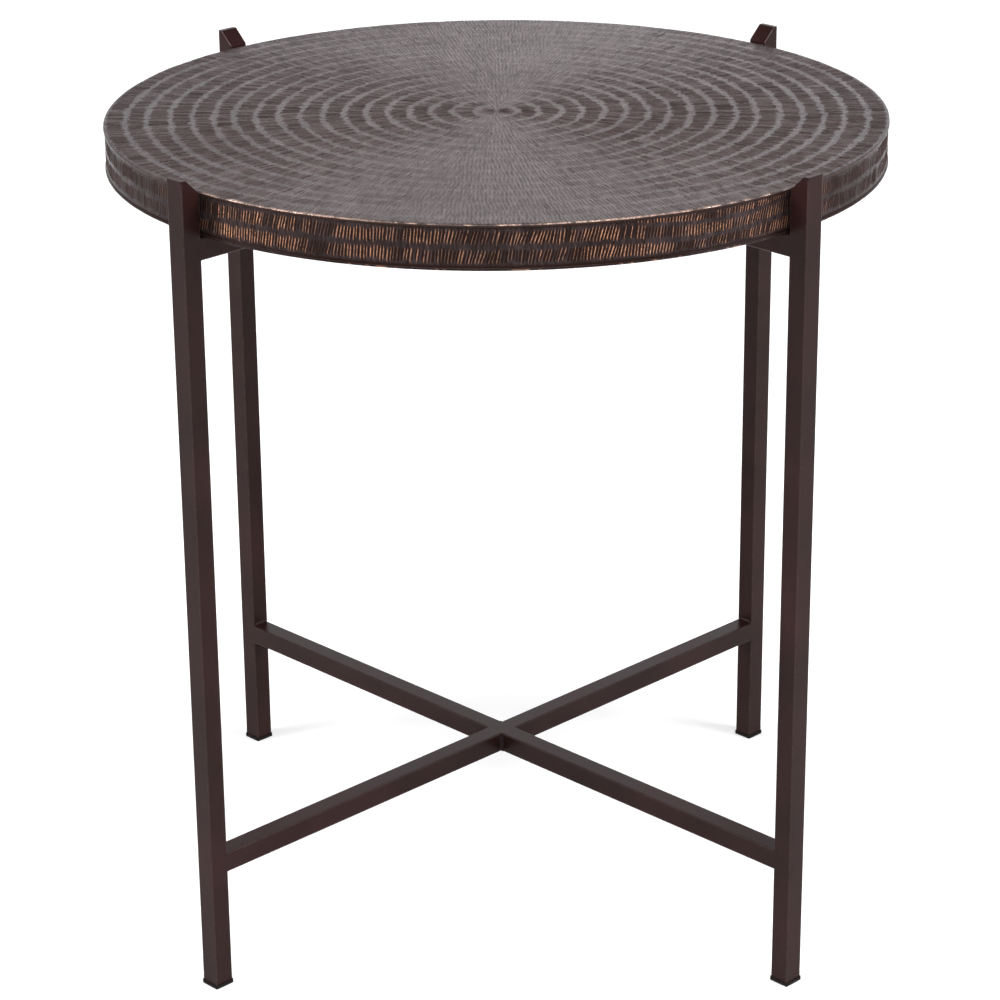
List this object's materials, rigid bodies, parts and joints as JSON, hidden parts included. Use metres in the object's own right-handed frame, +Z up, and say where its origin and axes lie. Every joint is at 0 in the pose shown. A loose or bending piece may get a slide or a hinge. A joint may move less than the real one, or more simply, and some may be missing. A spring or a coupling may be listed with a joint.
{
  "type": "tray table",
  "caption": "Round hammered metal tray with a deep turned-down rim, lifting out of a welded square-tube stand with crossed bars and bevelled leg tips.",
  "frame": {"origin": "on the floor, under the middle of the table", "axes": "+Z up along the middle of the round tray; the legs stand on the diagonals between X and Y"},
  "size_m": [0.5919, 0.592, 0.638],
  "materials": {
    "frame": "satin dark bronze powder coat",
    "weld": "satin dark bronze powder coat over weld bead",
    "glide": "matt black moulded plastic",
    "top_sheet": "hammered, dark antique patina",
    "band_sheet": "hammered, dark antique patina with burnished ridges",
    "core_wood": "sanded board, stained dark below",
    "nail": "blackened steel"
  },
  "bodies": {
    "stand": {"leg_front_left": "frame", "leg_front_right": "frame", "leg_back_left": "frame", "leg_back_right": "frame", "leg_cap_front_left": "frame", "leg_cap_front_right": "frame", "leg_cap_back_left": "frame", "leg_cap_back_right": "frame", "foot_glide_front_left": "glide", "foot_glide_front_right": "glide", "foot_glide_back_left": "glide", "foot_glide_back_right": "glide", "lower_bar_long": "frame", "lower_bar_back_left": "frame", "lower_bar_front_right": "frame", "upper_bar_long": "frame", "upper_bar_back_left": "frame", "upper_bar_front_right": "frame", "lower_welds": "weld", "upper_welds": "weld"},
    "tray": {"tray_top": "top_sheet", "side_band": "band_sheet", "core_board": "core_wood", "edge_ring": "core_wood", "band_nails": "nail"}
  },
  "joints": [
    {"name": "tray_lift", "type": "slide", "parent": "stand", "child": "tray", "axis": [0, 0, 1], "range_m": [0, 0.08]}
  ]
}
